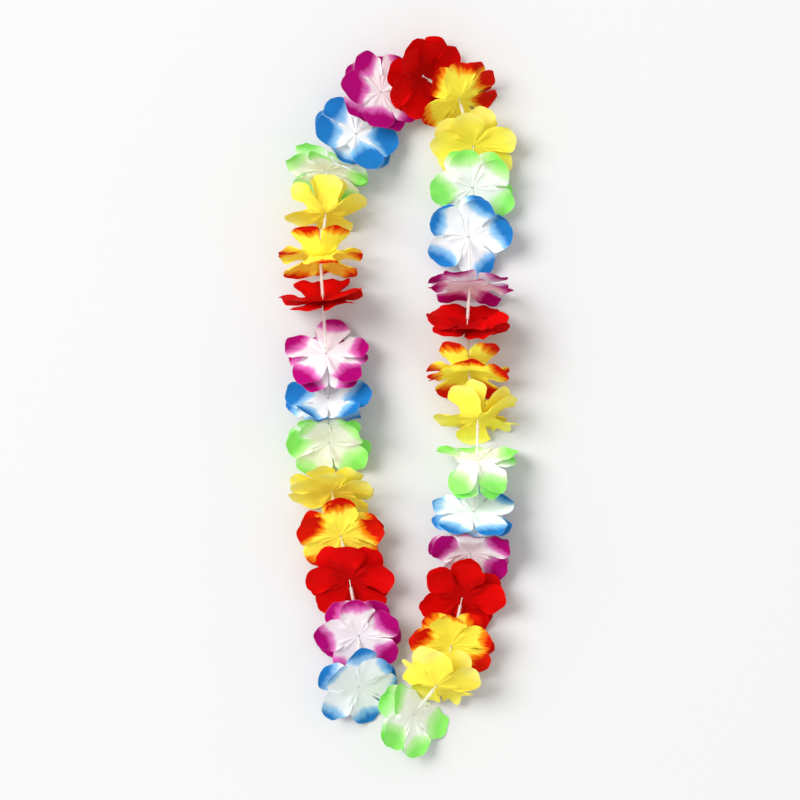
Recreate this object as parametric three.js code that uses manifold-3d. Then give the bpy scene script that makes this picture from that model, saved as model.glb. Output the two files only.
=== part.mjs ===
import * as THREE from "three";
import { mergeVertices } from "three/addons/utils/BufferGeometryUtils.js";
import Module from "manifold-3d";

// Flower lei of dyed cloth blooms and straw spacers on a knotted string, laid in a long loop.
// Millimetres, +Z up, the surface that it lies on at z = 0.

// Die-cut cloth bloom: two sheets of five round petals, one on the other.
const PETAL_REACH = 32.5;
const NOTCH_RADIUS = 13.5;
const BEND_END = 8;
const WAIST_REACH = 14;
const BELLY_REACH = 23.5;
const BELLY_RADIUS = 24.4;
const BELLY_HALF_ANGLE = 33;
const SLIT = 0.06;
const SHOULDER_REACH = 28.8;
const SHOULDER_HALF_WIDTH = 9.2;
const HALF_CLOTH = 0.34;
const HOLE_RADIUS = 1.25;
const HUB_HALF_LENGTH = 0.8;
const JOIN_SHARE = 0.2;
const EDGE_CUP = 1.2;
const CROWDED_ROLL = 0.7;
const TIP_CURL = 12;

// Where cloth meets the surface below, or the plane half way to the next bloom, it bends along it.
const NEAR_SHEET_CLEARANCE = 0.6;
const FAR_SHEET_CLEARANCE = 1.9;
const BACK_SHEET_FLOOR = 0.36;
const FRONT_SHEET_FLOOR = 1.6;
const BEND_LENGTH = 2;
const PRESSED_FLAT = 0.35;

// String, knot and straw spacers.
const STRING_RADIUS = 0.35;
const STRING_SIDES = 8;
const STRING_TURN = 0.7;
const STRAW_OUTER_RADIUS = 1.3;
const STRAW_BORE_RADIUS = 0.8;
const STRAW_SIDES = 8;
const STRAW_END_GAP = 2.3;
const STRAW_SLANT_GAP = 3;
const KNOT_AFTER = 16;
const KNOT_RADIUS = 1.3;
const KNOT_STRAND_RADIUS = 0.4;
const KNOT_CORE_RADIUS = 1.1;
const TAIL_LENGTH = 9;

// One plain colour for each dyed cloth.
const DYES = {
  red: 0xcc0000,
  orange: 0xf08a10,
  yellow: 0xf2de3c,
  green: 0xb4f48c,
  blue: 0x6fb2e8,
  magenta: 0xd85aa8,
};

// The blooms in threading order, clockwise round the loop from its top.
// at: centre of the bloom. lean: tilt of its face from straight up, and the compass direction it
// tilts to. petals: directions of the front sheet's petals. front, back: how far each petal
// of the two sheets is raised towards the face. turn: how far the back sheet is turned from
// having its petals half way between the front ones. parting, where one is given: the plane between
// this bloom and the next, by its place along the run, how far its normal points up, and how far
// above the run it is. Angles are in degrees, and directions are from +X towards +Y.
const BLOOMS = [
  { dye: "red", at: [17.3, 243, 16], lean: [36, 332], petals: [28, 80, 138, 196, 250],
    front: [4, 22, 22, 8, 8], back: [-8, 8, -4, -6, -14], turn: 0,
    parting: [0.5, 35, 1] },
  { dye: "orange", at: [44.2, 225.5, 19], lean: [56, 290], petals: [336, 24, 84, 200, 275],
    front: [-12, -16, -20, 4, 8], back: [-27, -34, -34, -12, -26], turn: -12 },
  { dye: "yellow", at: [55.2, 190.5, 15], lean: [30, 272], petals: [15, 105, 170, 245, 322],
    front: [6, 14, 6, 0, 2], back: [-6, -6, -12, -18, -14], turn: 14 },
  { dye: "green", at: [54.4, 159.3, 15], lean: [28, 270], petals: [38, 104, 178, 250, 332],
    front: [8, 8, 8, 0, 4], back: [-10, -10, -12, -18, -14], turn: -22 },
  { dye: "blue", at: [51.4, 122.3, 16], lean: [24, 270], petals: [8, 74, 141, 210, 288],
    front: [6, 5, 6, 4, 0], back: [-10, -10, -10, -14, -14], turn: -30 },
  { dye: "magenta", at: [52.5, 85.8, 25], lean: [76, 268], petals: [18, 90, 162, 232, 308],
    front: [6, 8, 6, 12, 12], back: [-6, -6, -6, 0, -6], turn: -14,
    parting: [0.49, 0, 0] },
  { dye: "red", at: [50.3, 56.8, 24], lean: [60, 90], petals: [54, 126, 196, 275, 342],
    front: [0, 0, 14, 22, 14], back: [-12, -2, 9, 9, -8], turn: -10,
    parting: [0.36, 0, 0] },
  { dye: "orange", at: [51, 21.8, 24], lean: [74, 268], petals: [18, 88, 166, 234, 306],
    front: [14, 25, 16, 24, 26], back: [-33, -33, -6, 4, -6], turn: 0,
    parting: [0.41, 50, -1] },
  { dye: "yellow", at: [58.2, -14, 23], lean: [70, 268], petals: [12, 132, 190, 262, 330],
    front: [-34, -44, -4, 16, -2], back: [-48, -64, -58, -16, -16], turn: -50,
    parting: [0.6, 6, 0] },
  { dye: "green", at: [57.8, -45.8, 25], lean: [76, 90], petals: [24, 98, 160, 232, 308],
    front: [8, 8, 14, -44, -44], back: [-6, -4, -58, -58, -58], turn: -34,
    parting: [0.51, -50, -7] },
  { dye: "blue", at: [55.1, -83.8, 22], lean: [56, 90], petals: [22, 92, 162, 232, 306],
    front: [2, 0, 2, -2, -4], back: [-12, -12, -16, -18, -18], turn: -10,
    parting: [0.55, 0, 0] },
  { dye: "magenta", at: [52.5, -114.8, 18], lean: [36, 270], petals: [28, 90, 152, 245, 320],
    front: [12, 30, 14, 0, 4], back: [-2, 0, -8, -16, -10], turn: -28 },
  { dye: "red", at: [46.5, -148.9, 15], lean: [27, 275], petals: [4, 80, 130, 192, 290],
    front: [8, 6, 8, 4, 0], back: [-10, -10, -10, -14, -14], turn: -22 },
  { dye: "orange", at: [38.6, -184.5, 17], lean: [32, 268], petals: [25, 98, 162, 216, 328],
    front: [8, 10, 8, 0, 4], back: [-8, -6, -12, -16, -12], turn: -8,
    parting: [0.5, 58, -2] },
  { dye: "yellow", at: [27.8, -213, 28], lean: [46, 248], petals: [15, 92, 170, 240, 310],
    front: [-24, -8, -22, -28, -28], back: [-38, -34, -38, -40, -40], turn: 0,
    parting: [0.5, 0, 0] },
  { dye: "green", at: [9.8, -236.3, 15], lean: [40, 358], petals: [68, 136, 214, 270, 344],
    front: [8, 14, 0, 4, 4], back: [-12, -12, -12, -12, -14], turn: -26,
    parting: [0.52, -20, 0] },
  { dye: "blue", at: [-31, -215.3, 17], lean: [32, 302], petals: [56, 138, 208, 286, 352],
    front: [16, 18, 8, 0, 0], back: [-8, -8, -10, -14, -12], turn: -18 },
  { dye: "magenta", at: [-30.9, -177, 15], lean: [26, 270], petals: [30, 92, 174, 250, 327],
    front: [6, 6, 8, 0, 4], back: [-10, -8, -12, -16, -12], turn: -4 },
  { dye: "red", at: [-37.8, -135.5, 16], lean: [28, 270], petals: [8, 98, 175, 230, 312],
    front: [6, 4, 6, 2, 4], back: [-10, -10, -12, -14, -12], turn: -4 },
  { dye: "orange", at: [-44.3, -102, 16], lean: [30, 266], petals: [16, 90, 166, 222, 320],
    front: [6, 4, 6, 2, 2], back: [-9, -9, -10, -14, -12], turn: -34 },
  { dye: "yellow", at: [-51, -69, 20], lean: [58, 268], petals: [28, 95, 152, 198, 325],
    front: [4, 4, 4, 0, 10], back: [-10, -10, -12, -16, -8], turn: -10 },
  { dye: "green", at: [-53.2, -32, 17], lean: [36, 268], petals: [46, 124, 176, 236, 325],
    front: [24, 24, 8, 2, 8], back: [9, 6, -8, -12, -6], turn: -28,
    parting: [0.51, 0, 0] },
  { dye: "blue", at: [-54, 1.5, 16], lean: [32, 90], petals: [3, 90, 180, 236, 306],
    front: [6, 4, 6, 27, 27], back: [-10, -10, -6, 13, -6], turn: -22 },
  { dye: "magenta", at: [-55.6, 34.6, 20], lean: [48, 90], petals: [15, 76, 164, 229, 321],
    front: [0, 12, 2, -18, -18], back: [-14, -12, -32, -32, -32], turn: -34 },
  { dye: "red", at: [-57.6, 74.6, 25], lean: [78, 96], petals: [62, 120, 196, 270, 344],
    front: [26, 26, 12, 10, 12], back: [14, 2, -2, -2, 2], turn: 0,
    parting: [0.49, 0, 0] },
  { dye: "orange", at: [-59.3, 107.2, 24], lean: [72, 270], petals: [18, 90, 162, 214, 326],
    front: [4, 30, 4, 20, 20], back: [-36, -36, -8, 4, -8], turn: 0,
    parting: [0.75, -20, 0] },
  { dye: "yellow", at: [-55.4, 139.6, 26], lean: [68, 268], petals: [18, 90, 146, 200, 290],
    front: [-22, -54, -36, -2, -2], back: [-66, -66, -48, -14, -32], turn: 0,
    parting: [0.57, -45, 1] },
  { dye: "green", at: [-54.8, 171.8, 20], lean: [56, 260], petals: [15, 90, 160, 232, 305],
    front: [8, 8, 4, 10, 10], back: [-12, -10, -10, -6, -8], turn: 0,
    parting: [0.6, 30, 0] },
  { dye: "blue", at: [-33, 199.5, 17], lean: [28, 52], petals: [64, 134, 184, 296, 350],
    front: [0, 4, 6, 6, 2], back: [-12, -8, -6, -8, -12], turn: 0,
    parting: [0.5, 35, 0] },
  { dye: "magenta", at: [-14.2, 230.8, 17], lean: [28, 35], petals: [61, 121, 180, 266, 335],
    front: [2, 4, 6, 12, 0], back: [-12, -8, -8, -10, -16], turn: -6 },
];

const radians = THREE.MathUtils.degToRad;
const wasm = await Module();
wasm.setup();

function toSolid(geometry) {
  const bare = geometry.clone();
  bare.deleteAttribute("normal");
  bare.deleteAttribute("uv");
  const merged = mergeVertices(bare, 1e-4);
  return new wasm.Manifold(
    new wasm.Mesh({
      numProp: 3,
      vertProperties: merged.attributes.position.array,
      triVerts: new Uint32Array(merged.index.array),
    }),
  );
}

function toGeometry(solid) {
  const mesh = solid.getMesh();
  const geometry = new THREE.BufferGeometry();
  geometry.setAttribute("position", new THREE.BufferAttribute(mesh.vertProperties, 3));
  geometry.setIndex(new THREE.BufferAttribute(mesh.triVerts, 1));
  return geometry;
}

const lei = new THREE.Group();

function addPiece(name, geometry, color, roughness) {
  const material = new THREE.MeshStandardMaterial({ color, roughness, metalness: 0 });
  const mesh = new THREE.Mesh(geometry, material);
  mesh.name = name;
  lei.add(mesh);
  return mesh;
}

// The string's run between neighbouring blooms, and its direction through each of them.
const hubs = BLOOMS.map((bloom) => new THREE.Vector3(...bloom.at));
const runs = hubs.map((hub, i) => hubs[(i + 1) % hubs.length].clone().sub(hub).normalize());
const threading = hubs.map((hub, i) => {
  const arriving = runs[(i + hubs.length - 1) % hubs.length];
  return arriving.clone().add(runs[i]).normalize();
});

// Axes of a bloom: its face direction, and the two directions in its plane nearest +X and +Y.
function bloomAxes(bloom) {
  const [tilt, towards] = bloom.lean.map(radians);
  const face = new THREE.Vector3(
    Math.sin(tilt) * Math.cos(towards),
    Math.sin(tilt) * Math.sin(towards),
    Math.cos(tilt),
  );
  const across = new THREE.Vector3(1, 0, 0).addScaledVector(face, -face.x).normalize();
  const along = new THREE.Vector3().crossVectors(face, across);
  return { face, across, along };
}

// Profile down the middle of a petal: it rises to its lift near the hub, then curls at the tip.
function midline(lift, reach) {
  const steps = 12;
  let out = 0;
  let up = 0;
  let slope = 0;
  for (let i = 0; i < steps; i++) {
    const r = (reach * (i + 0.5)) / steps;
    const curl = Math.max(0, (r - NOTCH_RADIUS) / (PETAL_REACH - NOTCH_RADIUS));
    slope = radians(lift * Math.min(1, r / BEND_END) + TIP_CURL * curl * curl);
    out += (Math.cos(slope) * reach) / steps;
    up += (Math.sin(slope) * reach) / steps;
  }
  return { out, up, slope };
}

// A point of one petal, given its reach along the petal and its distance beside the middle.
function petalPoint(bloom, axes, petal, reach, beside) {
  const direction = axes.across
    .clone()
    .multiplyScalar(Math.cos(petal.turn))
    .addScaledVector(axes.along, Math.sin(petal.turn));
  const sideways = new THREE.Vector3().crossVectors(axes.face, direction);
  const { out, up, slope } = midline(petal.lift, reach);
  const room = Math.tan((beside < 0 ? petal.halfBefore : petal.halfAfter) - SLIT);
  const crowding = Math.max(0, Math.abs(beside) - out * room) * Math.sign(petal.cup);
  const cup = petal.cup * (beside / BELLY_RADIUS) ** 2 * 3 + crowding * CROWDED_ROLL;
  const reached = out - cup * Math.sin(slope);
  const spread = reach > WAIST_REACH ? Math.min(Math.abs(beside), reached * room) : Math.abs(beside);
  return new THREE.Vector3(...bloom.at)
    .addScaledVector(direction, reached)
    .addScaledVector(axes.face, up + cup * Math.cos(slope))
    .addScaledVector(sideways, spread * Math.sign(beside));
}

// Cloth that would pass through one of the planes round a bloom lies along it instead.
function settle(point, bounds) {
  bounds.forEach(({ plane, clearance }) => {
    const above = plane.distanceToPoint(point) - clearance;
    if (above < BEND_LENGTH) {
      const kept = Math.max(0, above + BEND_LENGTH) ** 2 / (4 * BEND_LENGTH);
      point.addScaledVector(plane.normal, kept - above);
    }
  });
  return point;
}

// The plane between each bloom and the next, that neither passes through.
const partings = hubs.map((hub, i) => {
  const next = (i + 1) % hubs.length;
  const normal = new THREE.Vector3();
  if (BLOOMS[i].parting) {
    const [share, rise, above] = BLOOMS[i].parting;
    normal.set(runs[i].x, runs[i].y, 0).setLength(Math.cos(radians(rise)));
    normal.z = Math.sin(radians(rise));
    const place = hub.clone().lerp(hubs[next], share);
    place.z += above;
    return new THREE.Plane().setFromNormalAndCoplanarPoint(normal, place);
  }
  [i, next].forEach((k) => {
    const { face } = bloomAxes(BLOOMS[k]);
    normal.addScaledVector(face, Math.sign(face.dot(runs[i])));
  });
  const half = hub.clone().lerp(hubs[next], 0.5);
  return new THREE.Plane().setFromNormalAndCoplanarPoint(normal.normalize(), half);
});

// What limits the two sheets of a bloom: its neighbours on both sides, and the surface below.
function sheetBounds(i, facesAhead) {
  const floor = new THREE.Plane(new THREE.Vector3(0, 0, 1), 0);
  const ahead = partings[i].clone().negate();
  const behind = partings[(i + hubs.length - 1) % hubs.length];
  const clearances = (near, far, ground) => [
    { plane: ahead, clearance: facesAhead ? near : far },
    { plane: behind, clearance: facesAhead ? far : near },
    { plane: floor, clearance: ground },
  ];
  return {
    front: clearances(NEAR_SHEET_CLEARANCE, FAR_SHEET_CLEARANCE, FRONT_SHEET_FLOOR),
    back: clearances(FAR_SHEET_CLEARANCE, NEAR_SHEET_CLEARANCE, BACK_SHEET_FLOOR),
  };
}

// One sheet's mid-surface: five waist points, five notches, and each petal's outer points.
function sheetPoints(bloom, axes, petals, bounds) {
  const waists = [];
  const notches = [];
  const bellies = [];
  const rims = [];
  petals.forEach((petal, k) => {
    const next = petals[(k + 1) % 5];
    const point = (reach, beside) => settle(petalPoint(bloom, axes, petal, reach, beside), bounds);
    waists.push(point(WAIST_REACH, 0));
    const reach = NOTCH_RADIUS * Math.cos(petal.halfAfter);
    const beside = NOTCH_RADIUS * Math.sin(petal.halfAfter);
    const own = petalPoint(bloom, axes, petal, reach, beside);
    const shared = own.lerp(petalPoint(bloom, axes, next, reach, -beside), 0.5);
    notches.push(settle(shared, bounds));
    const before = Math.min(radians(BELLY_HALF_ANGLE), petal.halfBefore - SLIT);
    const after = Math.min(radians(BELLY_HALF_ANGLE), petal.halfAfter - SLIT);
    bellies.push([
      point(BELLY_RADIUS * Math.cos(before), -BELLY_RADIUS * Math.sin(before)),
      point(BELLY_REACH, 0),
      point(BELLY_RADIUS * Math.cos(after), BELLY_RADIUS * Math.sin(after)),
    ]);
    rims.push([
      point(SHOULDER_REACH, -SHOULDER_HALF_WIDTH),
      point(PETAL_REACH, 0),
      point(SHOULDER_REACH, SHOULDER_HALF_WIDTH),
    ]);
  });
  return { waists, notches, bellies, rims };
}

// Directions half way between neighbours, and half the angle between them, round the circle.
function spacing(turns) {
  return turns.map((turn, k) => {
    const step = (turns[(k + 1) % 5] - turn + 4 * Math.PI) % (2 * Math.PI);
    return { half: step / 2, middle: turn + step / 2 };
  });
}

function layOutPetals(turns, lifts, cup) {
  const gaps = spacing(turns);
  return turns.map((turn, k) => ({
    turn,
    lift: lifts[k],
    cup,
    halfBefore: gaps[(k + 4) % 5].half,
    halfAfter: gaps[k].half,
  }));
}

// A bloom's solid: both sheets share one ring of points round the hub, so it is one closed body.
function bloomGeometry(bloom, i) {
  const axes = bloomAxes(bloom);
  const thread = threading[i];
  const side = Math.sign(axes.face.dot(thread));
  const limits = sheetBounds(i, side > 0);
  const frontTurns = bloom.petals.map(radians);
  const gapTurns = spacing(frontTurns).map((gap) => gap.middle);
  const backTurns = gapTurns.map((turn) => turn + radians(bloom.turn));
  const front = layOutPetals(frontTurns, bloom.front, EDGE_CUP);
  const back = layOutPetals(backTurns, bloom.back, -EDGE_CUP);
  const hub = new THREE.Vector3(...bloom.at);
  const vertices = [];
  const triangles = [];
  const add = (point) => vertices.push(point) - 1;
  const face = (a, b, c) => triangles.push(a, b, c);
  const quad = (a, b, c, d) => {
    face(a, b, c);
    face(a, c, d);
  };

  // Hole ring directions, square to the string, at each front petal and the gap after it.
  const ringTurns = frontTurns.flatMap((turn, k) => [turn, gapTurns[k]]);
  const ringArms = ringTurns.map((turn) => {
    const arm = axes.across.clone().multiplyScalar(Math.cos(turn));
    arm.addScaledVector(axes.along, Math.sin(turn));
    return arm.addScaledVector(thread, -arm.dot(thread)).setLength(HOLE_RADIUS);
  });
  const ringPoint = (j, offset) => hub.clone().add(ringArms[j]).addScaledVector(thread, offset);
  const faceRing = ringArms.map((arm, j) => ringPoint(j, side * HUB_HALF_LENGTH));
  const rearRing = ringArms.map((arm, j) => ringPoint(j, -side * HUB_HALF_LENGTH));

  // Each sheet as a fan of quads from the ring out: rows are the waist, the bellies and the rim.
  function sheetRows(petals, ringStart, bounds) {
    const sheet = sheetPoints(bloom, axes, petals, bounds);
    const rows = petals.map((petal, k) => {
      const before = (k + 4) % 5;
      return {
        ring: [0, 1, 2].map((m) => (2 * k + ringStart + m + 9) % 10),
        waist: [sheet.notches[before], sheet.waists[k], sheet.notches[k]],
        belly: sheet.bellies[k],
        rim: sheet.rims[k],
      };
    });
    return rows;
  }

  function buildSheet(rows, ring, joinRing, outward) {
    const normals = new Map();
    const tally = (a, b, c) => {
      const normal = b.clone().sub(a).cross(c.clone().sub(a));
      [a, b, c].forEach((p) => normals.set(p, (normals.get(p) ?? new THREE.Vector3()).add(normal)));
    };
    const strips = rows.map((row) => [row.ring.map((j) => ring[j]), row.waist, row.belly, row.rim]);
    strips.forEach((strip) => {
      for (let i = 0; i < 3; i++) {
        for (let m = 0; m < 2; m++) {
          tally(strip[i][m], strip[i + 1][m], strip[i + 1][m + 1]);
          tally(strip[i][m], strip[i + 1][m + 1], strip[i][m + 1]);
        }
      }
    });
    const outer = new Map();
    const inner = new Map();
    normals.forEach((normal, point) => {
      if (ring.includes(point)) return;
      const offset = normal.clone().normalize().multiplyScalar(outward * HALF_CLOTH);
      outer.set(point, add(press(point.clone().add(offset))));
      inner.set(point, add(press(point.clone().sub(offset))));
    });
    return { strips, outer, inner, ring, joinRing, outward };
  }

  function press(point) {
    if (point.z < PRESSED_FLAT) point.z = 0;
    return point;
  }

  function skin(sheet, ringIndex, joinIndex) {
    const { strips, outer, inner, ring, outward } = sheet;
    const outerOf = (p) => outer.get(p) ?? ringIndex[ring.indexOf(p)];
    const innerOf = (p) => inner.get(p) ?? joinIndex[ring.indexOf(p)];
    const put = outward > 0 ? quad : (a, b, c, d) => quad(a, d, c, b);
    strips.forEach((strip) => {
      for (let i = 0; i < 3; i++) {
        for (let m = 0; m < 2; m++) {
          const corners = [strip[i][m], strip[i + 1][m], strip[i + 1][m + 1], strip[i][m + 1]];
          const [a, b, c, d] = corners.map(outerOf);
          put(a, b, c, d);
          const [e, f, g, h] = corners.map(innerOf);
          if (outward > 0) {
            face(e, g, f);
            face(e, h, g);
          } else {
            face(e, f, g);
            face(e, g, h);
          }
        }
      }
      const [, waist, belly, rim] = strip;
      const edge = [waist[0], belly[0], rim[0], rim[1], rim[2], belly[2], waist[2]];
      for (let i = 0; i < edge.length - 1; i++) {
        const corners = [outerOf(edge[i]), outerOf(edge[i + 1])];
        const below = [innerOf(edge[i + 1]), innerOf(edge[i])];
        if (outward > 0) quad(corners[1], corners[0], below[1], below[0]);
        else quad(corners[0], corners[1], below[0], below[1]);
      }
    });
  }

  const frontRows = sheetRows(front, 0, limits.front);
  const backRows = sheetRows(back, 1, limits.back);
  const frontSheet = buildSheet(frontRows, faceRing, null, 1);
  const backSheet = buildSheet(backRows, rearRing, null, -1);
  const faceIndex = faceRing.map(add);
  const rearIndex = rearRing.map(add);

  // The ring where the two sheets part, half way between their outer faces.
  const outerAlong = (sheet, rows, ring, j) => {
    const row = rows.find((candidate) => candidate.ring.includes(j));
    const waist = row.waist[row.ring.indexOf(j)];
    const target = vertices[sheet.outer.get(waist)];
    return ring[j].clone().lerp(target, JOIN_SHARE);
  };
  const joinIndex = ringTurns.map((turn, j) => {
    const upper = outerAlong(frontSheet, frontRows, faceRing, j);
    const lower = outerAlong(backSheet, backRows, rearRing, j);
    return add(upper.lerp(lower, 0.5));
  });
  skin(frontSheet, faceIndex, joinIndex);
  skin(backSheet, rearIndex, joinIndex);
  ringTurns.forEach((turn, j) => {
    const k = (j + 1) % 10;
    quad(faceIndex[j], faceIndex[k], rearIndex[k], rearIndex[j]);
  });

  const geometry = new THREE.BufferGeometry().setFromPoints(vertices);
  geometry.setIndex(triangles);
  return geometry;
}

BLOOMS.forEach((bloom, i) => {
  const number = String(i + 1).padStart(2, "0");
  addPiece(`bloom_${number}_${bloom.dye}`, bloomGeometry(bloom, i), DYES[bloom.dye], 0.8);
});

// Straw spacers: cut lengths of thin drinking straw, one on each run but the knotted one.
function strawGap(i) {
  const square = Math.abs(bloomAxes(BLOOMS[i]).face.dot(threading[i]));
  return STRAW_END_GAP + STRAW_SLANT_GAP * Math.sqrt(1 - square * square);
}

hubs.forEach((hub, i) => {
  if (i + 1 === KNOT_AFTER) return;
  const next = (i + 1) % hubs.length;
  const start = hub.clone().addScaledVector(runs[i], strawGap(i));
  const end = hubs[next].clone().addScaledVector(runs[i], -strawGap(next));
  const half = start.distanceTo(end) / 2;
  const profile = [
    [STRAW_BORE_RADIUS, -half],
    [STRAW_OUTER_RADIUS, -half],
    [STRAW_OUTER_RADIUS, half],
    [STRAW_BORE_RADIUS, half],
    [STRAW_BORE_RADIUS, -half],
  ].map(([x, y]) => new THREE.Vector2(x, y));
  const straw = new THREE.LatheGeometry(profile, STRAW_SIDES);
  const name = `spacer_${String(i + 1).padStart(2, "0")}`;
  const mesh = addPiece(name, straw, 0xf6f0e0, 0.35);
  mesh.position.copy(start).lerp(end, 0.5);
  mesh.quaternion.setFromUnitVectors(new THREE.Vector3(0, 1, 0), runs[i]);
});

// The string's route as a list of points, passed through one after the other.
class ThreadedRoute extends THREE.Curve {
  constructor(points) {
    super();
    this.points = points;
  }

  getPoint(t) {
    const place = t * (this.points.length - 1);
    const from = Math.min(Math.floor(place + 1e-9), this.points.length - 2);
    return this.points[from].clone().lerp(this.points[from + 1], place - from);
  }

  getPointAt(u) {
    return this.getPoint(u);
  }

  getTangentAt(u) {
    const step = 0.5 / (this.points.length - 1);
    const before = this.getPoint(Math.max(0, u - step));
    return this.getPoint(Math.min(1, u + step)).sub(before).normalize();
  }
}

function strand(points, radius) {
  const corners = [];
  for (let i = 0; i < STRING_SIDES; i++) {
    const angle = (2 * Math.PI * i) / STRING_SIDES;
    corners.push(new THREE.Vector2(radius * Math.cos(angle), radius * Math.sin(angle)));
  }
  return new THREE.ExtrudeGeometry(new THREE.Shape(corners), {
    steps: points.length - 1,
    extrudePath: new ThreadedRoute(points),
  });
}

const beforeKnot = hubs[KNOT_AFTER - 1];
const afterKnot = hubs[KNOT_AFTER];
const knotRun = runs[KNOT_AFTER - 1];
const knotCentre = beforeKnot.clone().lerp(afterKnot, 0.5);
const route = [knotCentre.clone().addScaledVector(knotRun, KNOT_CORE_RADIUS / 2)];
for (let step = 0; step < hubs.length; step++) {
  const i = (KNOT_AFTER + step) % hubs.length;
  const arriving = runs[(i + hubs.length - 1) % hubs.length];
  route.push(hubs[i].clone().addScaledVector(arriving, -STRING_TURN));
  route.push(hubs[i].clone().addScaledVector(runs[i], STRING_TURN));
}
route.push(knotCentre.clone().addScaledVector(knotRun, -KNOT_CORE_RADIUS / 2));

// An overhand knot with two cut tails, where the ends of the string meet.
const turns = new THREE.TorusKnotGeometry(KNOT_RADIUS, KNOT_STRAND_RADIUS, 20, 5, 2, 3);
const core = new THREE.SphereGeometry(KNOT_CORE_RADIUS, 8, 6);
const tails = [-1, 1].map((sign) => {
  const rise = new THREE.Vector3(0.25 * sign, 0.35, -0.35 * sign);
  const direction = knotRun.clone().multiplyScalar(sign).add(rise).normalize();
  return strand(
    [
      knotCentre.clone(),
      knotCentre.clone().addScaledVector(direction, TAIL_LENGTH / 2),
      knotCentre.clone().addScaledVector(direction, TAIL_LENGTH).setZ(knotCentre.z - 1),
    ],
    STRING_RADIUS,
  );
});
const place = new THREE.Matrix4().makeTranslation(knotCentre);
turns.applyMatrix4(place);
core.applyMatrix4(place);
const stringSolid = [turns, core, ...tails].reduce(
  (whole, geometry) => whole.add(toSolid(geometry)),
  toSolid(strand(route, STRING_RADIUS)),
);
addPiece("string", toGeometry(stringSolid), 0xf2f0ea, 0.6);

// The origin is under the middle of the laid loop, on the surface.
const bounds = new THREE.Box3().setFromObject(lei);
const middle = bounds.getCenter(new THREE.Vector3());
lei.position.set(-middle.x, -middle.y, 0);

export default lei;
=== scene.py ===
import math

import bpy
import numpy as np
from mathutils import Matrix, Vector


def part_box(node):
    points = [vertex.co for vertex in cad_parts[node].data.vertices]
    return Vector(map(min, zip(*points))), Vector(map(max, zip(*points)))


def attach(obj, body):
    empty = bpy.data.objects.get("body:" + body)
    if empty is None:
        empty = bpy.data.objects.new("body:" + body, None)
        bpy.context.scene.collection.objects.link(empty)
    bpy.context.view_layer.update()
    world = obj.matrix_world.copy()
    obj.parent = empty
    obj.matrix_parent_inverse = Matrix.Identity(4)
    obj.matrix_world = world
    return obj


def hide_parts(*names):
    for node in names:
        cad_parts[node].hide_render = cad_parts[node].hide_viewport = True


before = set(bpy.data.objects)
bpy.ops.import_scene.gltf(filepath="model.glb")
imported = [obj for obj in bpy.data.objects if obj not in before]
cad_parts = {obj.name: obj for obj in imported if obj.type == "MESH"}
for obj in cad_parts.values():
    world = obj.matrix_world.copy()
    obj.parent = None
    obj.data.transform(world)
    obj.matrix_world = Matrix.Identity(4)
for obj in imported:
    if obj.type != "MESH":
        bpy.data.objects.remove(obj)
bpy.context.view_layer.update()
scene = bpy.context.scene
scene.view_settings.view_transform = "Standard"

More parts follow.
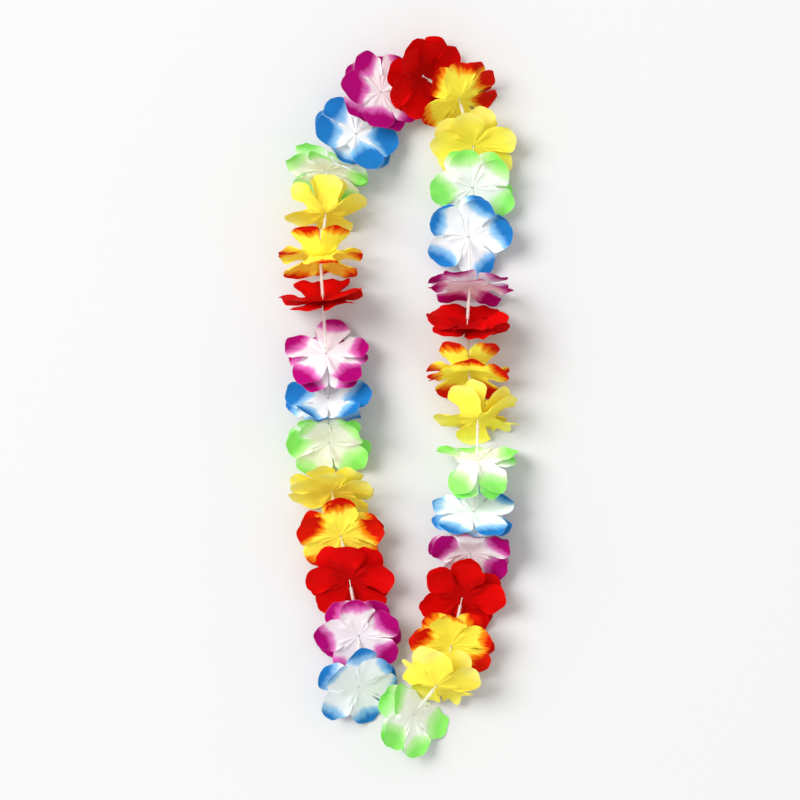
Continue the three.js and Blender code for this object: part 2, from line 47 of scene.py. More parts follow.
# Where the lei lies: the centres of its 30 blooms in threading order, clockwise from the top, in
# mm from the middle of the photo, whose pixel is 0.75 mm wide at the string. shift moves them to
# the CAD's frame, by the straw between two of them.
#
# Each row holds the dye, the centre, the tilt of the face with the compass direction that it
# tilts to, the directions of the five front petals, how far each front petal and each back petal
# is raised towards the face, and how far the back sheet is turned from having its petals half way
# between the front ones. Angles are in degrees. Last is the plane that parts the bloom from the
# next one: its place along the run, the rise of its normal and its height above the run. None
# stands for the plane half way between the two faces.
BLOOMS = [
    ("red", (17.3, 243, 16), (36, 332), (28, 80, 138, 196, 250),
     (4, 22, 22, 8, 8), (-8, 8, -4, -6, -14), 0, (0.5, 35, 1)),
    ("orange", (44.2, 225.5, 19), (56, 290), (336, 24, 84, 200, 275),
     (-12, -16, -20, 4, 8), (-27, -34, -34, -12, -26), -12, None),
    ("yellow", (55.2, 190.5, 15), (30, 272), (15, 105, 170, 245, 322),
     (6, 14, 6, 0, 2), (-6, -6, -12, -18, -14), 14, None),
    ("green", (54.4, 159.3, 15), (28, 270), (38, 104, 178, 250, 332),
     (8, 8, 8, 0, 4), (-10, -10, -12, -18, -14), -22, None),
    ("blue", (51.4, 122.3, 16), (24, 270), (8, 74, 141, 210, 288),
     (6, 5, 6, 4, 0), (-10, -10, -10, -14, -14), -30, None),
    ("magenta", (52.5, 85.8, 25), (76, 268), (18, 90, 162, 232, 308),
     (6, 8, 6, 12, 12), (-6, -6, -6, 0, -6), -14, (0.49, 0, 0)),
    ("red", (50.3, 56.8, 24), (60, 90), (54, 126, 196, 275, 342),
     (0, 0, 14, 22, 14), (-12, -2, 9, 9, -8), -10, (0.36, 0, 0)),
    ("orange", (51, 21.8, 24), (74, 268), (18, 88, 166, 234, 306),
     (14, 25, 16, 24, 26), (-33, -33, -6, 4, -6), 0, (0.41, 50, -1)),
    ("yellow", (58.2, -14, 23), (70, 268), (12, 132, 190, 262, 330),
     (-34, -44, -4, 16, -2), (-48, -64, -58, -16, -16), -50, (0.6, 6, 0)),
    ("green", (57.8, -45.8, 25), (76, 90), (24, 98, 160, 232, 308),
     (8, 8, 14, -44, -44), (-6, -4, -58, -58, -58), -34, (0.51, -50, -7)),
    ("blue", (55.1, -83.8, 22), (56, 90), (22, 92, 162, 232, 306),
     (2, 0, 2, -2, -4), (-12, -12, -16, -18, -18), -10, (0.55, 0, 0)),
    ("magenta", (52.5, -114.8, 18), (36, 270), (28, 90, 152, 245, 320),
     (12, 30, 14, 0, 4), (-2, 0, -8, -16, -10), -28, None),
    ("red", (46.5, -148.9, 15), (27, 275), (4, 80, 130, 192, 290),
     (8, 6, 8, 4, 0), (-10, -10, -10, -14, -14), -22, None),
    ("orange", (38.6, -184.5, 17), (32, 268), (25, 98, 162, 216, 328),
     (8, 10, 8, 0, 4), (-8, -6, -12, -16, -12), -8, (0.5, 58, -2)),
    ("yellow", (27.8, -213, 28), (46, 248), (15, 92, 170, 240, 310),
     (-24, -8, -22, -28, -28), (-38, -34, -38, -40, -40), 0, (0.5, 0, 0)),
    ("green", (9.8, -236.3, 15), (40, 358), (68, 136, 214, 270, 344),
     (8, 14, 0, 4, 4), (-12, -12, -12, -12, -14), -26, (0.52, -20, 0)),
    ("blue", (-31, -215.3, 17), (32, 302), (56, 138, 208, 286, 352),
     (16, 18, 8, 0, 0), (-8, -8, -10, -14, -12), -18, None),
    ("magenta", (-30.9, -177, 15), (26, 270), (30, 92, 174, 250, 327),
     (6, 6, 8, 0, 4), (-10, -8, -12, -16, -12), -4, None),
    ("red", (-37.8, -135.5, 16), (28, 270), (8, 98, 175, 230, 312),
     (6, 4, 6, 2, 4), (-10, -10, -12, -14, -12), -4, None),
    ("orange", (-44.3, -102, 16), (30, 266), (16, 90, 166, 222, 320),
     (6, 4, 6, 2, 2), (-9, -9, -10, -14, -12), -34, None),
    ("yellow", (-51, -69, 20), (58, 268), (28, 95, 152, 198, 325),
     (4, 4, 4, 0, 10), (-10, -10, -12, -16, -8), -10, None),
    ("green", (-53.2, -32, 17), (36, 268), (46, 124, 176, 236, 325),
     (24, 24, 8, 2, 8), (9, 6, -8, -12, -6), -28, (0.51, 0, 0)),
    ("blue", (-54, 1.5, 16), (32, 90), (3, 90, 180, 236, 306),
     (6, 4, 6, 27, 27), (-10, -10, -6, 13, -6), -22, None),
    ("magenta", (-55.6, 34.6, 20), (48, 90), (15, 76, 164, 229, 321),
     (0, 12, 2, -18, -18), (-14, -12, -32, -32, -32), -34, None),
    ("red", (-57.6, 74.6, 25), (78, 96), (62, 120, 196, 270, 344),
     (26, 26, 12, 10, 12), (14, 2, -2, -2, 2), 0, (0.49, 0, 0)),
    ("orange", (-59.3, 107.2, 24), (72, 270), (18, 90, 162, 214, 326),
     (4, 30, 4, 20, 20), (-36, -36, -8, 4, -8), 0, (0.75, -20, 0)),
    ("yellow", (-55.4, 139.6, 26), (68, 268), (18, 90, 146, 200, 290),
     (-22, -54, -36, -2, -2), (-66, -66, -48, -14, -32), 0, (0.57, -45, 1)),
    ("green", (-54.8, 171.8, 20), (56, 260), (15, 90, 160, 232, 305),
     (8, 8, 4, 10, 10), (-12, -10, -10, -6, -8), 0, (0.6, 30, 0)),
    ("blue", (-33, 199.5, 17), (28, 52), (64, 134, 184, 296, 350),
     (0, 4, 6, 6, 2), (-12, -8, -6, -8, -12), 0, (0.5, 35, 0)),
    ("magenta", (-14.2, 230.8, 17), (28, 35), (61, 121, 180, 266, 335),
     (2, 4, 6, 12, 0), (-12, -8, -8, -10, -16), -6, None),
]
hubs = np.array([row[1] for row in BLOOMS], float)
low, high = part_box("spacer_15")
shift = np.array((low + high) / 2) * 1000 - (hubs[14] + hubs[15]) / 2
hubs += shift

# Camera: straight above the lei with a long lens. The photo's 800 pixels are 0.6 m at the string.
STRING_HEIGHT = 0.017
CAMERA_HEIGHT = 3.0
PHOTO_WIDTH = 0.6
SENSOR_WIDTH = 36
camera = bpy.data.objects.new("camera", bpy.data.cameras.new("camera"))
scene.collection.objects.link(camera)
camera.location = (shift[0] / 1000, shift[1] / 1000, STRING_HEIGHT + CAMERA_HEIGHT)
camera.data.sensor_width = SENSOR_WIDTH
camera.data.lens = SENSOR_WIDTH * CAMERA_HEIGHT / PHOTO_WIDTH
scene.camera = camera

# Surface and light: a plain pale table top, one large soft lamp on the upper left that gives
# the shadows to the right of both columns, and an even fill from all round.
TABLE_HALF = 4
floor_mesh = bpy.data.meshes.new("table_top")
corners = [(x * TABLE_HALF, y * TABLE_HALF, 0) for x, y in ((-1, -1), (1, -1), (1, 1), (-1, 1))]
floor_mesh.from_pydata(corners, [], [(0, 1, 2, 3)])
floor = bpy.data.objects.new("table_top", floor_mesh)
scene.collection.objects.link(floor)
paper = bpy.data.materials.new("pale_table")
paper.use_nodes = True
surface = paper.node_tree.nodes["Principled BSDF"]
surface.inputs["Base Color"].default_value = (0.64, 0.64, 0.64, 1)
surface.inputs["Roughness"].default_value = 0.9
surface.inputs["Specular IOR Level"].default_value = 0.1
floor_mesh.materials.append(paper)
lamp = bpy.data.objects.new("key_lamp", bpy.data.lights.new("key_lamp", "AREA"))
scene.collection.objects.link(lamp)
lamp.data.shape = "DISK"
lamp.data.size = 9.2
lamp.data.energy = 2420
lamp.location = (-9, 5, 11)
lamp.rotation_euler = (-Vector(lamp.location)).to_track_quat("-Z", "Y").to_euler()
world = bpy.data.worlds.new("studio")
scene.world = world
world.use_nodes = True
fill = world.node_tree.nodes["Background"]
fill.inputs["Color"].default_value = (1, 1, 1, 1)
fill.inputs["Strength"].default_value = 0.76


# String: a thin off-white thread of three twisted plies, 0.7 mm thick, through every bloom and
# straw. It is knotted with two cut tails in the run between the green and the blue bloom at the
# bottom, which has no straw.
STRING_RADIUS = 0.34
PLY_PITCH = 3.0
STEPS_A_TURN = 6
KNOT_AFTER = 16
KNOT_SIZE = 0.62
TAIL_LENGTH = 9


class Wire:
    """A socket of a material's nodes, with arithmetic on it."""

    def __init__(self, tree, socket=None):
        self.tree = tree
        self.socket = socket

    def node(self, kind, settings, inputs, output=0):
        made = self.tree.nodes.new(kind)
        for key, value in settings.items():
            setattr(made, key, value)
        for key, value in inputs.items():
            if isinstance(value, Wire):
                self.tree.links.new(value.socket, made.inputs[key])
            else:
                made.inputs[key].default_value = value
        return Wire(self.tree, made.outputs[output])

    def math(self, operation, *values):
        return self.node("ShaderNodeMath", {"operation": operation}, dict(enumerate(values)))

    def __add__(self, other):
        return self.math("ADD", self, other)

    def __sub__(self, other):
        return self.math("SUBTRACT", self, other)

    def __mul__(self, other):
        return self.math("MULTIPLY", self, other)

    def __truediv__(self, other):
        return self.math("DIVIDE", self, other)

    def __rsub__(self, other):
        return self.math("SUBTRACT", other, self)

    def __rtruediv__(self, other):
        return self.math("DIVIDE", other, self)

    __radd__ = __add__
    __rmul__ = __mul__

    def between(self, low, high):
        """0 below low, 1 above high, and smooth between them."""
        settings = {"interpolation_type": "SMOOTHSTEP"}
        return self.node("ShaderNodeMapRange", settings, {0: self, 1: low, 2: high})

    def colour(self, first, second):
        """first where this is 0 and second where it is 1."""
        return self.node("ShaderNodeMix", {"data_type": "RGBA"}, {0: self, 6: first, 7: second}, 2)


def linear(code):
    """The linear colour of a hexadecimal one."""
    parts = [int(code[i : i + 2], 16) / 255 for i in (0, 2, 4)]
    return (*(x / 12.92 if x < 0.04045 else ((x + 0.055) / 1.055) ** 2.4 for x in parts), 1)


def add_piece(name, points, faces, material):
    """A mesh piece from points in mm, which moves with the lei's one body."""
    mesh = bpy.data.meshes.new(name)
    mesh.from_pydata((np.asarray(points) / 1000).tolist(), [], faces)
    mesh.polygons.foreach_set("use_smooth", [True] * len(mesh.polygons))
    mesh.materials.append(material)
    piece = bpy.data.objects.new(name, mesh)
    scene.collection.objects.link(piece)
    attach(piece, "root")
    return piece


def tube(line, radius, sides, closed=False):
    """Points and faces of a round tube along a line. radius is one value or one for each point."""
    line = np.asarray(line, float)
    ahead = np.roll(line, -1, axis=0) - np.roll(line, 1, axis=0)
    if not closed:
        ahead[0] = line[1] - line[0]
        ahead[-1] = line[-1] - line[-2]
    ahead /= np.linalg.norm(ahead, axis=1)[:, None]
    side = np.cross(ahead, [0.0, 0.0, 1.0])
    side /= np.linalg.norm(side, axis=1)[:, None]
    over = np.cross(side, ahead)
    angle = np.linspace(0, 2 * np.pi, sides, endpoint=False)
    radius = np.broadcast_to(radius, len(line))[:, None, None]
    ring = side[:, None] * np.cos(angle)[None, :, None] + over[:, None] * np.sin(angle)[None, :, None]
    points = (line[:, None] + radius * ring).reshape(-1, 3)
    faces = []
    rows = len(line) if closed else len(line) - 1
    for i in range(rows):
        a, b = i * sides, (i + 1) % len(line) * sides
        for j in range(sides):
            k = (j + 1) % sides
            faces.append((a + j, a + k, b + k, b + j))
    if not closed:
        faces.append(tuple(range(sides))[::-1])
        faces.append(tuple(range((len(line) - 1) * sides, len(line) * sides)))
    return points, faces


def resample(line, step):
    """Points about a step apart along a line."""
    line = np.asarray(line, float)
    along = np.concatenate([[0], np.cumsum(np.linalg.norm(np.diff(line, axis=0), axis=1))])
    at = np.linspace(0, along[-1], max(2, round(along[-1] / step)))
    return np.column_stack([np.interp(at, along, line[:, k]) for k in range(3)])


def twisted(line):
    """Points and faces of the thread's three plies, twisted round a line."""
    line = resample(line, PLY_PITCH / STEPS_A_TURN)
    ahead = np.gradient(line, axis=0)
    ahead /= np.linalg.norm(ahead, axis=1)[:, None]
    side = np.cross(ahead, [0.0, 0.0, 1.0])
    side /= np.linalg.norm(side, axis=1)[:, None]
    over = np.cross(side, ahead)
    points, faces = [], []
    for ply in range(3):
        turn = np.arange(len(line)) * 2 * np.pi / STEPS_A_TURN + ply * 2 * np.pi / 3
        outward = side * np.cos(turn)[:, None] + over * np.sin(turn)[:, None]
        more, around = tube(line + STRING_RADIUS * 0.52 * outward, STRING_RADIUS * 0.5, 5)
        faces += [tuple(v + len(points) for v in face) for face in around]
        points += more.tolist()
    return points, faces


thread = bpy.data.materials.new("string_thread")
thread.use_nodes = True
surface = thread.node_tree.nodes["Principled BSDF"]
surface.inputs["Roughness"].default_value = 0.75
wire = Wire(thread.node_tree)
place = wire.node("ShaderNodeTexCoord", {}, {}, "Object")
fuzz = wire.node("ShaderNodeTexNoise", {}, {"Vector": place, "Scale": 2500.0, "Detail": 3.0})
tone = fuzz.between(0.3, 0.7).colour(linear("D8D4C8"), linear("FAF8F0"))
thread.node_tree.links.new(tone.socket, surface.inputs["Base Color"])
bump = wire.node("ShaderNodeBump", {}, {"Strength": 0.4, "Distance": 0.0001, "Height": fuzz})
thread.node_tree.links.new(bump.socket, surface.inputs["Normal"])

knot = (hubs[KNOT_AFTER - 1] + hubs[KNOT_AFTER]) / 2
knot_run = hubs[KNOT_AFTER] - hubs[KNOT_AFTER - 1]
knot_run /= np.linalg.norm(knot_run)
order = [(KNOT_AFTER + i) % len(hubs) for i in range(len(hubs))]
route = np.vstack([knot + knot_run, hubs[order], knot - knot_run])
points, faces = twisted(route)
points = list(points)

# The knot is a small closed overhand loop, and a cut tail leaves it on each side.
turn = np.linspace(0, 2 * np.pi, 73)[:-1]
loop = np.column_stack([
    (2 + np.cos(3 * turn)) * np.cos(2 * turn),
    (2 + np.cos(3 * turn)) * np.sin(2 * turn),
    -np.sin(3 * turn),
]) * KNOT_SIZE
more, around = tube(knot + loop, STRING_RADIUS, 7, closed=True)
faces += [tuple(v + len(points) for v in face) for face in around]
points += more.tolist()
for sign in (-1, 1):
    out = sign * knot_run + np.array([0.25 * sign, 0.35, -0.35 * sign])
    out /= np.linalg.norm(out)
    end = knot + TAIL_LENGTH * out
    end[2] = knot[2] - 1
    more, around = twisted([knot, knot + TAIL_LENGTH / 2 * out, end])
    faces += [tuple(v + len(points) for v in face) for face in around]
    points += list(more)
string = add_piece("lei_string", points, faces, thread)
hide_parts("string")


# Straw spacers: cut lengths of milky white drinking straw, 2.6 mm across with a 0.3 mm wall,
# slid on the string between the blooms. They are slightly bowed, and their ends are cut square,
# a little short of the blooms.
STRAW_RADIUS = 1.3
STRAW_BORE = 1.0
STRAW_SIDES = 20
STRAW_RINGS = 9
STRAW_GAP = 2.3
LEAN_GAP = 3


def face_of(row):
    """Axes of a bloom: its face, and the directions in its plane nearest +X and +Y."""
    tilt, towards = (math.radians(x) for x in row[2])
    face = np.array([
        math.sin(tilt) * math.cos(towards), math.sin(tilt) * math.sin(towards), math.cos(tilt)
    ])
    across = np.array([1.0, 0, 0]) - face[0] * face
    across /= np.linalg.norm(across)
    return face, across, np.cross(face, across)


straw = bpy.data.materials.new("milky_straw")
straw.use_nodes = True
surface = straw.node_tree.nodes["Principled BSDF"]
surface.inputs["Roughness"].default_value = 0.28
surface.inputs["Specular IOR Level"].default_value = 0.5
wire = Wire(straw.node_tree)
place = wire.node("ShaderNodeTexCoord", {}, {}, "Object")
cloud = wire.node("ShaderNodeTexNoise", {}, {"Vector": place, "Scale": 90.0, "Detail": 3.0})
tone = cloud.between(0.35, 0.65).colour(linear("EFE6DC"), linear("FCF8F2"))
straw.node_tree.links.new(tone.socket, surface.inputs["Base Color"])
scratch = wire.node("ShaderNodeTexNoise", {}, {"Vector": place, "Scale": 1400.0, "Detail": 2.0})
bump = wire.node("ShaderNodeBump", {}, {"Strength": 0.15, "Distance": 0.0001, "Height": scratch})
straw.node_tree.links.new(bump.socket, surface.inputs["Normal"])
surface.inputs["Alpha"].default_value = 0.26

runs = np.roll(hubs, -1, axis=0) - hubs
spans = np.linalg.norm(runs, axis=1)
runs /= spans[:, None]
threading = np.roll(runs, 1, axis=0) + runs
threading /= np.linalg.norm(threading, axis=1)[:, None]
rng = np.random.default_rng(7)
for i, row in enumerate(BLOOMS):
    if i + 1 == KNOT_AFTER:
        continue
    j = (i + 1) % len(BLOOMS)
    gaps = []
    for k in (i, j):
        square = abs(face_of(BLOOMS[k])[0] @ threading[k])
        gaps.append(STRAW_GAP + LEAN_GAP * math.sqrt(1 - square * square))
    at = np.linspace(gaps[0], spans[i] - gaps[1], STRAW_RINGS)
    bow = np.sin(np.linspace(0, np.pi, STRAW_RINGS)) * rng.uniform(-0.25, 0.25)
    line = hubs[i] + at[:, None] * runs[i] + bow[:, None] * np.cross(runs[i], [0, 0, 1])
    outer, faces = tube(line, STRAW_RADIUS, STRAW_SIDES)
    inner, inside = tube(line, STRAW_BORE, STRAW_SIDES)
    count = len(outer)
    faces = faces[:-2] + [tuple(v + count for v in face[::-1]) for face in inside[:-2]]
    for start in (0, (STRAW_RINGS - 1) * STRAW_SIDES):
        for s in range(STRAW_SIDES):
            a, b = start + s, start + (s + 1) % STRAW_SIDES
            faces.append((a, b, count + b, count + a) if start else (b, a, count + a, count + b))
    piece = add_piece(f"straw_{i + 1:02d}", np.vstack([outer, inner]), faces, straw)
    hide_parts(f"spacer_{i + 1:02d}")

# Blooms: two die-cut sheets of thin dyed cloth, one on the other, each with five round petals
# slit from one another to 13.5 mm from the middle. They are 66 mm across and pinched on the
# string between two straws. The heat-cut edges are wavy, and creases run out from the string.
PETAL_REACH = 33
NOTCH_RADIUS = 13.5
LOBE_CENTRE = 19.2
LOBE_RADIUS = 13.8

# How a petal is bent: its tip curls by this many degrees, and its two sides are cupped.
TIP_CURL = 12
CUP_DEPTH = 1.2
CUP_SPAN = 23.2

# Two blooms that press on each other share one gently wavy face. Each keeps its near sheet the
# smaller gap from it and its far sheet the larger one. The table top has gaps of its own.
RIPPLE = 0.9
RIPPLE_LENGTH = 3.4
SOFT_BEND = 2
NEAR_GAP = 0.3
FAR_GAP = 1.0
FRONT_ABOVE_TABLE = 0.6
BACK_ABOVE_TABLE = 0.15
SHEET_GAP = 0.25

# Faces across each petal, and rows of them inside and outside the notches.
ACROSS = 28
INNER_ROWS = 8
OUTER_ROWS = 12

# Petals with frayed ends, by bloom and sheet. True is the front sheet.
FRAYED = {(8, True): (2,), (9, True): (4,), (15, True): (2, 4), (15, False): (4,)}

# How deep each front petal is dyed, from 0 for its rim alone to 1 for all of it.
DIPS = {
    2: (0.95, 0.85, 0.5, 0.5, 0.4),
    4: (0.45, 0.5, 0.75, 0.3, 0.55),
    5: (0.65, 0.55, 0.5, 0.6, 0.5),
    6: (0.6, 0.55, 0.6, 0.8, 0.85),
    8: (0.6, 0.6, 0.6, 0.65, 0.95),
    10: (0.6, 0.6, 0.6, 0.7, 0.7),
    11: (0.4, 0.35, 0.4, 0.6, 0.6),
    12: (0.7, 0.35, 0.85, 0.4, 0.75),
    14: (0.5, 0.25, 0.75, 0.4, 0.75),
    16: (0.6, 0.6, 0.7, 0.6, 0.65),
    17: (0.35, 0.35, 0.4, 0.55, 0.4),
    18: (0.75, 0.5, 0.55, 0.45, 0.7),
    20: (0.8, 0.5, 0.85, 0.4, 0.5),
    22: (0.35, 0.35, 0.75, 0.4, 0.65),
    23: (0.85, 0.4, 0.85, 0.6, 0.6),
    24: (0.6, 0.5, 0.6, 0.7, 0.75),
    26: (0.5, 0.45, 0.5, 0.5, 0.5),
    28: (0.55, 0.5, 0.5, 0.55, 0.55),
    29: (0.7, 0.85, 0.9, 1.05, 0.95),
    30: (0.45, 0.75, 0.95, 0.85, 0.4),
}


def midline(lift, curl, reach):
    """How far out and up the middle of a petal is, and its slope, at each reach."""
    r = np.linspace(0, 36, 73)
    middle = (r[1:] + r[:-1]) / 2
    tip = np.clip((middle - NOTCH_RADIUS) / (PETAL_REACH - NOTCH_RADIUS), 0, 1.2)
    slope = np.radians(lift * np.minimum(1, middle / 8) + curl * tip**2)
    out = np.concatenate([[0], np.cumsum(np.cos(slope) * 0.5)])
    up = np.concatenate([[0], np.cumsum(np.sin(slope) * 0.5)])
    return np.interp(reach, r, out), np.interp(reach, r, up), np.interp(reach, middle, slope)


def bend_clear(points, bounds):
    """Cloth that would pass through one of the wavy faces lies along it instead."""
    for normal, offset, clearance, ripple in bounds:
        beside = np.sign(ripple) * (normal[0] * points[:, 1] - normal[1] * points[:, 0])
        wave = np.sin(beside / RIPPLE_LENGTH) + 0.6 * np.sin(2 * beside / RIPPLE_LENGTH + 1)
        above = points @ normal - offset - clearance - ripple * wave
        kept = np.maximum(0, above + SOFT_BEND) ** 2 / (4 * SOFT_BEND)
        points = points + np.where(above < SOFT_BEND, kept - above, 0)[:, None] * normal
    return points


partings = []
for i in range(len(BLOOMS)):
    j = (i + 1) % len(BLOOMS)
    middle = (hubs[i] + hubs[j]) / 2
    normal = np.zeros(3)
    if BLOOMS[i][7]:
        share, rise, above = BLOOMS[i][7]
        normal[:2] = runs[i][:2] / np.linalg.norm(runs[i][:2]) * math.cos(math.radians(rise))
        normal[2] = math.sin(math.radians(rise))
        middle = hubs[i] + share * (hubs[j] - hubs[i]) + np.array([0, 0, above])
    else:
        for k in (i, j):
            face = face_of(BLOOMS[k])[0]
            normal += face * np.sign(face @ runs[i])
        normal /= np.linalg.norm(normal)
    partings.append((normal, float(normal @ middle)))


def cloth_sheet(i, is_front):
    """Points, faces and the two maps of one of a bloom's sheets: its flat cut, and its dye, whose heart
    on the red blooms is painted shade.
    """
    row = BLOOMS[i]
    rng = np.random.default_rng(100 * i + is_front)
    face, across, along = face_of(row)
    turns = np.radians(row[3])
    steps = (np.roll(turns, -1) - turns) % (2 * np.pi)
    lifts = np.array(row[4 if is_front else 5], float)
    if not is_front:
        turns = turns + steps / 2 + math.radians(row[6])
        steps = (np.roll(turns, -1) - turns) % (2 * np.pi)
    half_after = steps / 2
    half_before = np.roll(half_after, 1)
    cups = (CUP_DEPTH if is_front else -CUP_DEPTH) * rng.uniform(0.6, 1.6, 5)
    curls = TIP_CURL + rng.uniform(-8, 8, 5)
    forward = face @ threading[i] > 0
    ahead, behind = (NEAR_GAP, FAR_GAP) if forward == is_front else (FAR_GAP, NEAR_GAP)
    above_table = FRONT_ABOVE_TABLE if is_front else BACK_ABOVE_TABLE
    next_face, last_face = partings[i], partings[i - 1]
    bounds = [
        (-next_face[0], -next_face[1], ahead, -RIPPLE),
        (last_face[0], last_face[1], behind, RIPPLE),
        (np.array([0.0, 0, 1]), 0.0, above_table, 0),
    ]

    def on_petal(k, reach, beside, raise_by):
        out, up, slope = midline(lifts[k], curls[k], reach)
        direction = across * math.cos(turns[k]) + along * math.sin(turns[k])
        sideways = np.cross(face, direction)
        room = np.tan(np.where(beside < 0, half_before[k], half_after[k]) - 0.02)
        crowding = np.maximum(0, np.abs(beside) - out * room) * np.sign(cups[k])
        cup = cups[k] * (beside / CUP_SPAN) ** 2 * 3 + crowding * 0.7 + raise_by
        reached = out - cup * np.sin(slope)
        spread = np.where(reach > 14, np.minimum(np.abs(beside), reached * room), np.abs(beside))
        return (
            hubs[i]
            + reached[:, None] * direction
            + (up + cup * np.cos(slope))[:, None] * face
            + (spread * np.sign(beside))[:, None] * sideways
        )

    points, faces, cut, dye = [], [], [], []
    u = np.linspace(-1, 1, ACROSS + 1)
    for k in range(5):
        half = np.where(u < 0, half_before[k], half_after[k])
        size = rng.uniform(0.96, 1.06) if is_front else rng.uniform(0.9, 1.0)
        arc = u * math.radians(rng.uniform(134, 140))
        waves = 1 + 0.04 * np.sin(2.5 * arc + rng.uniform(0, 6))
        waves += 0.025 * np.sin(6 * arc + rng.uniform(0, 6))
        lobe = LOBE_RADIUS * waves * size + rng.normal(0, 0.14, len(u))
        if k in FRAYED.get((i + 1, is_front), ()):
            spikes = np.abs((arc * 5 + 0.7 * k) / np.pi % 2 - 1)
            lobe *= np.where(np.abs(arc) < 1.3, 0.6 + 0.5 * spikes, 1)
        rim_x = LOBE_CENTRE + lobe * np.cos(arc)
        rim_y = lobe * np.sin(arc) * 0.98
        rim_r = np.hypot(rim_x, rim_y)
        rim_angle = np.clip(np.arctan2(rim_y, rim_x), -half_before[k] + 0.015, half_after[k] - 0.015)
        notch_x, notch_y = NOTCH_RADIUS * np.cos(u * half), NOTCH_RADIUS * np.sin(u * half)
        rim_x, rim_y = rim_r * np.cos(rim_angle), rim_r * np.sin(rim_angle)
        flat_x, flat_y, edge = [], [], []
        for r in np.linspace(1.0, NOTCH_RADIUS, INNER_ROWS, endpoint=False):
            flat_x.append(r * np.cos(u * half))
            flat_y.append(r * np.sin(u * half))
            edge.append(np.zeros(len(u)))
        for t in np.linspace(0, 1, OUTER_ROWS + 1):
            flat_x.append(notch_x + (rim_x - notch_x) * t)
            flat_y.append(notch_y + (rim_y - notch_y) * t)
            edge.append(np.full(len(u), t))
        x, y, e = (np.concatenate(v) for v in (flat_x, flat_y, edge))
        uu = np.tile(u, INNER_ROWS + OUTER_ROWS + 1)
        radius = np.hypot(x, y)
        angle = np.arctan2(y, x)
        wide = np.where(uu < 0, half_before[k], half_after[k])
        near_side = np.clip(np.abs(angle) / wide, 0, 1)

        # Creases fan out from the string, each slit's two lips part, and the rim is wavy.
        pleat = np.zeros(len(x))
        for _ in range(4):
            middle = rng.uniform(-0.8, 0.8) * wide
            width = rng.uniform(0.05, 0.11)
            pleat += rng.uniform(-0.16, 0.25) * np.exp(-(((angle - middle) / width) ** 2)) * radius / 26
        pleat *= 1 - near_side**6
        valley = -0.14 * np.exp(-((wide * (1 - near_side) * radius / 1.6) ** 2))
        valley *= np.clip((radius - 2) / 6, 0, 1) * (1 - e)
        lip = np.sign(uu) * 0.55 * near_side**3 * np.clip((radius - NOTCH_RADIUS) / 5, 0, 1)
        phase, count = rng.uniform(0, 6), rng.integers(3, 6)
        ruffle = e**2.5 * (rng.uniform(0.7, 1.6) * np.sin(uu * count * 1.6 + phase))
        ruffle += e**4 * 0.35 * np.sin(uu * 15 + phase * 3)
        roll = pleat + valley + lip + ruffle

        # Near the string each petal runs into the two beside it.
        own = on_petal(k, x, y, roll)
        shared = np.empty_like(own)
        before_this = ((k + 4) % 5, 2 * half_before[k], uu < 0)
        after_this = ((k + 1) % 5, -2 * half_after[k], uu >= 0)
        for other, turn_by, pick in (before_this, after_this):
            turned = angle[pick] + turn_by
            out, over = radius[pick] * np.cos(turned), radius[pick] * np.sin(turned)
            shared[pick] = on_petal(other, out, over, roll[pick])
        blend = np.clip((near_side - 0.35) / 0.65, 0, 1)
        blend = 0.5 * blend**2 * (3 - 2 * blend) * np.clip((18 - radius) / 4.5, 0, 1)
        settled = own + blend[:, None] * (shared - own)
        settled = bend_clear(settled + face * (SHEET_GAP if is_front else -SHEET_GAP), bounds)

        start = len(points)
        points += settled.tolist()
        columns = ACROSS + 1
        for r in range(INNER_ROWS + OUTER_ROWS):
            for c in range(ACROSS):
                a = start + r * columns + c
                faces.append((a, a + columns, a + columns + 1, a + 1))
        whole = angle + turns[k]
        cut += np.column_stack([radius * np.cos(whole), radius * np.sin(whole)]).tolist()
        dip = DIPS.get(i + 1, (0.5,) * 5)[k] if is_front else rng.uniform(0.45, 0.7)
        # How far the dye runs in. On the red blooms the low values, near the string and beside the
        # slits, give painted shade.
        amount = radius / PETAL_REACH + 0.8 * (dip - 0.5)
        amount += rng.uniform(-0.8, 0.8) * y / PETAL_REACH - 0.3 * near_side**2
        dye += np.column_stack([amount, e]).tolist()
    return points, faces, np.array(cut), np.array(dye)


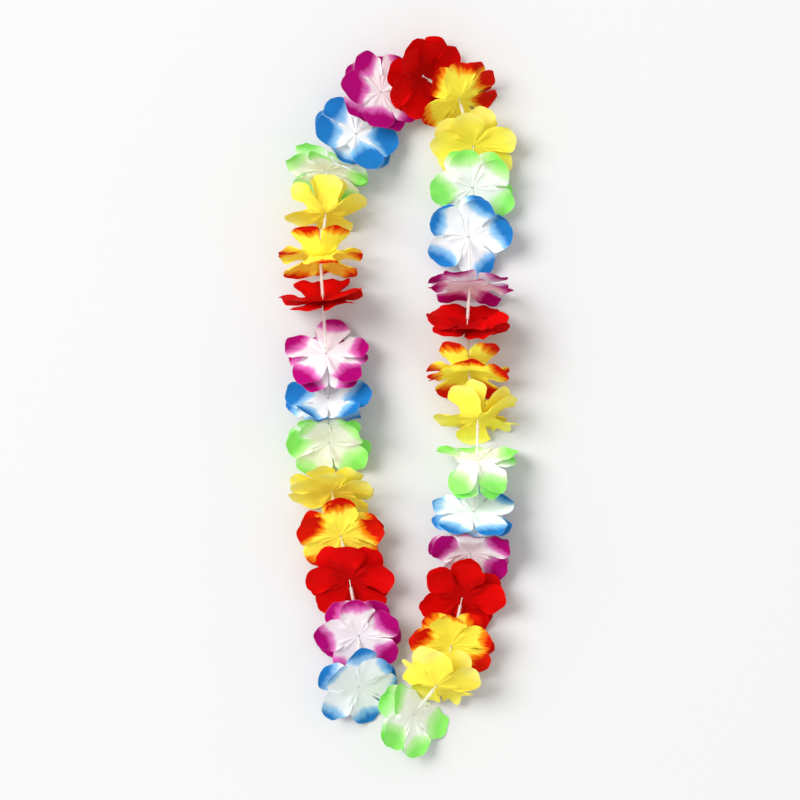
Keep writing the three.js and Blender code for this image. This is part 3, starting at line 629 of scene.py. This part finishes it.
def cloth(name, heart, middle, tip, starts, full, streaks, rim):
    """Thin dyed cloth: dye that runs in from the petal tips in streaks, over a plain weave; on red, the
    darker heart that it leaves is painted shade.
    """
    made = bpy.data.materials.new(name)
    made.use_nodes = True
    surface = made.node_tree.nodes["Principled BSDF"]
    surface.inputs["Roughness"].default_value = 0.75
    surface.inputs["Specular IOR Level"].default_value = 0.08
    wire = Wire(made.node_tree)
    cut = wire.node("ShaderNodeUVMap", {"uv_map": "cut"}, {})
    x, y = (wire.node("ShaderNodeSeparateXYZ", {}, {0: cut}, k) for k in (0, 1))
    dye = wire.node("ShaderNodeUVMap", {"uv_map": "dye"}, {})
    amount, edge = (wire.node("ShaderNodeSeparateXYZ", {}, {0: dye}, k) for k in (0, 1))
    radius = wire.math("SQRT", x * x + y * y)
    heading = wire.node("ShaderNodeCombineXYZ", {}, {0: x / radius, 1: y / radius, 2: radius * 0.6})
    streak = wire.node("ShaderNodeTexNoise", {}, {"Vector": heading, "Scale": 9.0, "Detail": 3.0})
    blotch = wire.node("ShaderNodeTexNoise", {}, {"Vector": cut, "Scale": 7.0, "Detail": 2.0})
    # Where this is low the heart colour shows; on red that darker heart is painted shade.
    dye_and_shade = amount + (streak - 0.5) * streaks + (blotch - 0.5) * 0.16
    inner = dye_and_shade.between(starts, (starts + full) / 2)
    outer = dye_and_shade.between((starts + full) / 2 - 0.03, full)
    tone = outer.colour(inner.colour(linear(heart), linear(middle)), linear(tip))
    pale = edge.between(0.97, 1.0) * rim
    tone = pale.colour(tone, (1, 1, 1, 1))
    weave_x, weave_y = (wire.math("SINE", way * 900.0) for way in (x, y))
    fold = wire.node("ShaderNodeTexNoise", {}, {"Vector": heading, "Scale": 16.0, "Detail": 4.0})
    height = weave_x * weave_y * 0.15 + fold
    bump = wire.node("ShaderNodeBump", {}, {"Strength": 0.16, "Distance": 0.0006, "Height": height})
    made.node_tree.links.new(tone.socket, surface.inputs["Base Color"])
    made.node_tree.links.new(bump.socket, surface.inputs["Normal"])
    pale_glow = wire.node("ShaderNodeBsdfTranslucent", {}, {"Color": linear(heart)})
    dyed_glow = wire.node("ShaderNodeBsdfTranslucent", {}, {"Color": linear(tip)})
    through = wire.node("ShaderNodeMixShader", {}, {0: outer, 1: pale_glow, 2: dyed_glow})
    facing = Wire(made.node_tree, surface.outputs[0])
    mixed = wire.node("ShaderNodeMixShader", {}, {0: 0.15, 1: facing, 2: through})
    output = made.node_tree.nodes["Material Output"]
    made.node_tree.links.new(mixed.socket, output.inputs["Surface"])
    return made


# The colours of the heart, of the dye's edge and of the tip; where the dye starts and where it is
# full, as shares of the petal; how streaky it is; and how pale the heat-cut rim is.
CLOTHS = {
    # Red's darker heart colour is painted shade near the string and between the petals.
    "red": cloth("red_cloth", "BC0000", "DA0000", "D40202", 0.2, 0.9, 0.5, 0.0),
    "orange": cloth("orange_cloth", "FFF450", "FA8C08", "D41400", 0.62, 0.94, 0.4, 0.0),
    "yellow": cloth("yellow_cloth", "F8E44A", "FAEC52", "F6EC76", 0.3, 1.0, 0.3, 0.1),
    "green": cloth("green_cloth", "F8FCF2", "BCF89C", "90EE6C", 0.46, 0.92, 0.12, 0.15),
    "blue": cloth("blue_cloth", "F4F8F8", "80C0EC", "2078C0", 0.54, 0.94, 0.14, 0.15),
    "magenta": cloth("magenta_cloth", "F4EAEE", "DA60B4", "AC0270", 0.54, 0.9, 0.16, 0.1),
}
for i, row in enumerate(BLOOMS):
    for is_front in (True, False):
        points, faces, cut, dye = cloth_sheet(i, is_front)
        name = f"{row[0]}_{i + 1:02d}_{'front' if is_front else 'back'}_sheet"
        piece = add_piece(name, points, faces, CLOTHS[row[0]])
        mesh = piece.data
        corner = np.empty(len(mesh.loops), int)
        mesh.loops.foreach_get("vertex_index", corner)
        for layer, values in (("cut", cut / 70), ("dye", dye)):
            mesh.uv_layers.new(name=layer).data.foreach_set("uv", values[corner].ravel())
        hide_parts(f"bloom_{i + 1:02d}_{row[0]}")

bpy.context.view_layer.update()
